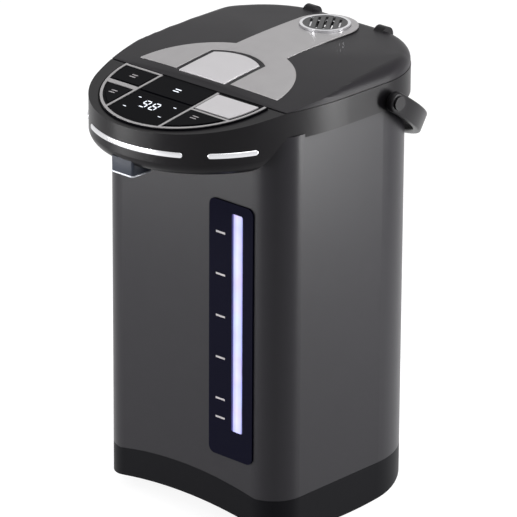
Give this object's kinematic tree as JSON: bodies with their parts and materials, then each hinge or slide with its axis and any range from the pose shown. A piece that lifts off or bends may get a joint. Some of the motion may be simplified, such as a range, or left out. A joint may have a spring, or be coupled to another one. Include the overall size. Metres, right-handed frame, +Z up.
{
  "type": "electric thermo pot",
  "caption": "Electric thermo pot with a pumped spout, lit water gauge, control panel, hinged lid and carrying bail.",
  "frame": {"origin": "on the table, under the middle of the whole outline from spout nose to resting bail", "axes": "+Z up, front with the spout and gauge towards -Y, +X to the right of someone who looks at the back"},
  "size_m": [0.2316, 0.2981, 0.3844],
  "materials": {
    "body_paint": "satin gunmetal paint on steel sheet",
    "black_plastic": "fine-grained black moulding",
    "head_plastic": "fine-grained dark grey moulding",
    "grey_plastic": "plain grey moulding",
    "gloss_black": "glossy black panel",
    "key_black": "semi-gloss black key",
    "silver_plastic": "silver painted plastic",
    "light_silver": "light silver painted plastic",
    "chrome_trim": "bright plated plastic",
    "grey_print": "grey print",
    "clear_plastic": "clear moulding lit pale blue from behind",
    "clear_glass": "clear glass tube",
    "white_plastic": "plain white moulding",
    "silicone": "translucent silicone rubber",
    "black_rubber": "matt black rubber",
    "stainless_steel": "polished stainless steel",
    "plated_steel": "zinc-plated steel",
    "cast_aluminium": "plain cast aluminium",
    "magnet": "dark ferrite",
    "brass": "plain brass",
    "circuit_board": "green circuit board with parts"
  },
  "bodies": {
    "pot": {"outer_body": "body_paint", "base_skirt": "black_plastic", "bottom_cover": "black_plastic", "rubber_feet": "black_rubber", "bottom_screws": "plated_steel", "inner_pot": "stainless_steel", "pot_ring": "black_plastic", "rim_seal": "silicone", "heater_plate": "cast_aluminium", "dry_boil_thermostat": "white_plastic", "temperature_sensor": "brass", "inlet_hose": "silicone", "pump_casing": "white_plastic", "pump_can": "black_plastic", "pump_motor": "plated_steel", "riser_hose": "silicone", "gauge_tube": "clear_glass", "outlet_hose": "silicone", "spout_nozzle": "black_plastic", "spout_cover": "grey_plastic", "gauge_panel": "gloss_black", "gauge_window": "clear_plastic", "gauge_light_board": "circuit_board", "gauge_marks": "grey_print", "head_collar": "head_plastic", "collar_screws": "plated_steel", "trim_strips": "chrome_trim", "panel_plate": "gloss_black", "panel_lines": "silver_plastic", "display_window": "gloss_black", "display_module": "grey_plastic", "control_board": "circuit_board", "power_board": "circuit_board", "mains_inlet": "black_plastic", "hinge_pin": "plated_steel", "handle_pins": "black_plastic"},
    "lid": {"lid_cover": "head_plastic", "lid_plate": "silver_plastic", "release_key_pin": "plated_steel", "lid_inner_cover": "grey_plastic", "lid_screws": "plated_steel", "lid_gasket": "silicone", "inner_lid": "stainless_steel", "steam_duct": "silicone", "vent_ring": "chrome_trim", "vent_grille": "black_plastic"},
    "release_key": {"release_key": "light_silver"},
    "lid_latch": {"lid_latch": "grey_plastic"},
    "bail": {"bail_handle": "head_plastic"},
    "lock_key": {"lock_key": "key_black"},
    "timer_key": {"timer_key": "key_black"},
    "boil_key": {"boil_key": "key_black"},
    "cooling_key": {"cooling_key": "key_black"},
    "dispense_key": {"dispense_key": "silver_plastic"},
    "impeller": {"pump_impeller": "white_plastic"},
    "magnet": {"drive_magnet": "magnet"}
  },
  "joints": [
    {"name": "lid_hinge", "type": "hinge", "parent": "pot", "child": "lid", "pos_m": [0, 0.11338, 0.377], "axis": [-1, 0, 0], "range_deg": [0, 85]},
    {"name": "bail_swing", "type": "hinge", "parent": "pot", "child": "bail", "pos_m": [0, 0.04838, 0.3525], "axis": [1, 0, 0], "range_deg": [0, 123]},
    {"name": "release_key_press", "type": "hinge", "parent": "lid", "child": "release_key", "pos_m": [-0.005, -0.01662, 0.371], "axis": [1, 0, 0], "range_deg": [0, 4], "stiffness_Nm_per_rad": 1.5},
    {"name": "latch_slide", "type": "slide", "parent": "lid", "child": "lid_latch", "axis": [0, 1, 0], "range_m": [0, 0.0032]},
    {"name": "lock_key_press", "type": "slide", "parent": "pot", "child": "lock_key", "axis": [0, 0.1478, -0.989], "range_m": [0, 0.0012], "stiffness_N_per_m": 1500},
    {"name": "timer_key_press", "type": "slide", "parent": "pot", "child": "timer_key", "axis": [0, 0.1478, -0.989], "range_m": [0, 0.0012], "stiffness_N_per_m": 1500},
    {"name": "boil_key_press", "type": "slide", "parent": "pot", "child": "boil_key", "axis": [0, 0.1478, -0.989], "range_m": [0, 0.0012], "stiffness_N_per_m": 1500},
    {"name": "cooling_key_press", "type": "slide", "parent": "pot", "child": "cooling_key", "axis": [0, 0.1478, -0.989], "range_m": [0, 0.0012], "stiffness_N_per_m": 1500},
    {"name": "dispense_key_press", "type": "slide", "parent": "pot", "child": "dispense_key", "axis": [0, 0.1478, -0.989], "range_m": [0, 0.0012], "stiffness_N_per_m": 1500},
    {"name": "impeller_spin", "type": "hinge", "parent": "pot", "child": "impeller", "pos_m": [0.057, -0.02062, 0.046], "axis": [0, 0, 1], "continuous": true},
    {"name": "magnet_spin", "type": "hinge", "parent": "pot", "child": "magnet", "pos_m": [0.057, -0.02062, 0.036], "axis": [0, 0, 1], "continuous": true}
  ],
  "couplings": [
    {"joint": "latch_slide", "follows": "release_key_press", "m_per_rad": 0.0458},
    {"joint": "impeller_spin", "follows": "magnet_spin", "ratio": 1}
  ]
}
